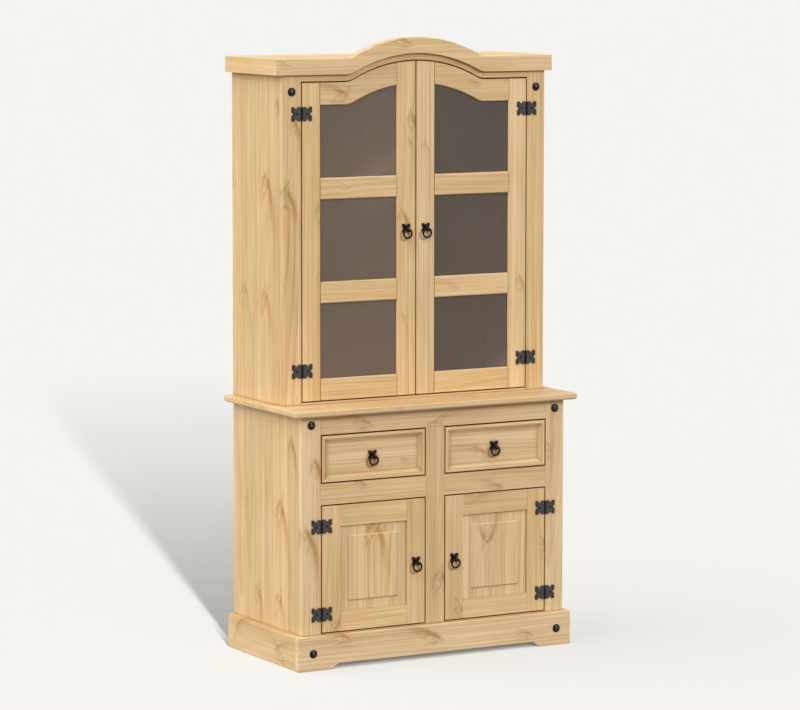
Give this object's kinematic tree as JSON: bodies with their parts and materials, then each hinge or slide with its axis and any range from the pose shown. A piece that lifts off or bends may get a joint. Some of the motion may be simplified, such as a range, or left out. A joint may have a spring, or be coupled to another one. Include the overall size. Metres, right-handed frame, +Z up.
{
  "type": "hutch dresser cabinet",
  "caption": "Two-part pine dresser: glazed hutch with arched crown and doors on a base with drawers, panelled doors and a shaped plinth, black iron hinges, domed nails and ring pulls",
  "frame": {"origin": "on the floor, under the middle of the whole outline", "axes": "+Z up, the doors and drawers face -Y, +X to the right of someone facing the front"},
  "size_m": [0.959, 0.4736, 1.8439],
  "materials": {
    "pine": "solid pine boards, satin wax",
    "panel_board": "thin pine-faced board, matt",
    "iron": "black iron, low sheen",
    "glass": "clear pane with a slight brown-grey tint"
  },
  "bodies": {
    "carcass": {"base_back": "panel_board", "base_centre_stile": "pine", "base_middle_rails": "pine", "base_outer_stiles": "pine", "base_shelves": "pine", "base_side_left": "pine", "base_side_right": "pine", "base_top": "pine", "base_top_rail": "pine", "clavos": "iron", "crown_front": "pine", "crown_sides": "pine", "drawer_runners": "pine", "hinge_frame_leaves": "iron", "hinge_pins": "iron", "hutch_back": "panel_board", "hutch_fascia": "pine", "hutch_roof": "pine", "hutch_shelves": "pine", "hutch_side_left": "pine", "hutch_side_right": "pine", "hutch_stiles": "pine", "plinth_front": "pine", "plinth_sides": "pine"},
    "hutch_door_left": {"hutch_door_left_glass": "glass", "hutch_door_left_hinge_leaves": "iron", "hutch_door_left_pull_plate": "iron", "hutch_door_left_rails": "pine", "hutch_door_left_stiles": "pine", "hutch_door_left_top_rail": "pine"},
    "hutch_door_left_ring": {"hutch_door_left_pull_ring": "iron"},
    "base_door_left": {"base_door_left_hinge_leaves": "iron", "base_door_left_panel": "pine", "base_door_left_pull_plate": "iron", "base_door_left_rails": "pine", "base_door_left_stiles": "pine"},
    "base_door_left_ring": {"base_door_left_pull_ring": "iron"},
    "drawer_left": {"drawer_left_bottom": "panel_board", "drawer_left_box": "pine", "drawer_left_front": "pine", "drawer_left_pull_plate": "iron"},
    "drawer_left_ring": {"drawer_left_pull_ring": "iron"},
    "hutch_door_right": {"hutch_door_right_glass": "glass", "hutch_door_right_hinge_leaves": "iron", "hutch_door_right_pull_plate": "iron", "hutch_door_right_rails": "pine", "hutch_door_right_stiles": "pine", "hutch_door_right_top_rail": "pine"},
    "hutch_door_right_ring": {"hutch_door_right_pull_ring": "iron"},
    "base_door_right": {"base_door_right_hinge_leaves": "iron", "base_door_right_panel": "pine", "base_door_right_pull_plate": "iron", "base_door_right_rails": "pine", "base_door_right_stiles": "pine"},
    "base_door_right_ring": {"base_door_right_pull_ring": "iron"},
    "drawer_right": {"drawer_right_bottom": "panel_board", "drawer_right_box": "pine", "drawer_right_front": "pine", "drawer_right_pull_plate": "iron"},
    "drawer_right_ring": {"drawer_right_pull_ring": "iron"}
  },
  "joints": [
    {"name": "hutch_door_left_hinge", "type": "hinge", "parent": "carcass", "child": "hutch_door_left", "pos_m": [-0.383, -0.092, 1.2467], "axis": [0, 0, -1], "range_deg": [0, 170]},
    {"name": "hutch_door_left_ring_hinge", "type": "hinge", "parent": "hutch_door_left", "child": "hutch_door_left_ring", "pos_m": [-0.03335, -0.10025, 1.2754], "axis": [-1, 0, 0], "range_deg": [-15, 165]},
    {"name": "base_door_left_hinge", "type": "hinge", "parent": "carcass", "child": "base_door_left", "pos_m": [-0.3825, -0.211, 0.29625], "axis": [0, 0, -1], "range_deg": [0, 170]},
    {"name": "base_door_left_ring_hinge", "type": "hinge", "parent": "base_door_left", "child": "base_door_left_ring", "pos_m": [-0.06575, -0.21925, 0.29375], "axis": [-1, 0, 0], "range_deg": [-15, 165]},
    {"name": "drawer_left_slide", "type": "slide", "parent": "carcass", "child": "drawer_left", "axis": [0, -1, 0], "range_m": [0, 0.3]},
    {"name": "drawer_left_ring_hinge", "type": "hinge", "parent": "drawer_left", "child": "drawer_left_ring", "pos_m": [-0.208, -0.20925, 0.6215], "axis": [-1, 0, 0], "range_deg": [-15, 165]},
    {"name": "hutch_door_right_hinge", "type": "hinge", "parent": "carcass", "child": "hutch_door_right", "pos_m": [0.383, -0.092, 1.2467], "axis": [0, 0, 1], "range_deg": [0, 170]},
    {"name": "hutch_door_right_ring_hinge", "type": "hinge", "parent": "hutch_door_right", "child": "hutch_door_right_ring", "pos_m": [0.03335, -0.10025, 1.2754], "axis": [-1, 0, 0], "range_deg": [-15, 165]},
    {"name": "base_door_right_hinge", "type": "hinge", "parent": "carcass", "child": "base_door_right", "pos_m": [0.3825, -0.211, 0.29625], "axis": [0, 0, 1], "range_deg": [0, 170]},
    {"name": "base_door_right_ring_hinge", "type": "hinge", "parent": "base_door_right", "child": "base_door_right_ring", "pos_m": [0.06575, -0.21925, 0.29375], "axis": [-1, 0, 0], "range_deg": [-15, 165]},
    {"name": "drawer_right_slide", "type": "slide", "parent": "carcass", "child": "drawer_right", "axis": [0, -1, 0], "range_m": [0, 0.3]},
    {"name": "drawer_right_ring_hinge", "type": "hinge", "parent": "drawer_right", "child": "drawer_right_ring", "pos_m": [0.208, -0.20925, 0.6215], "axis": [-1, 0, 0], "range_deg": [-15, 165]}
  ]
}
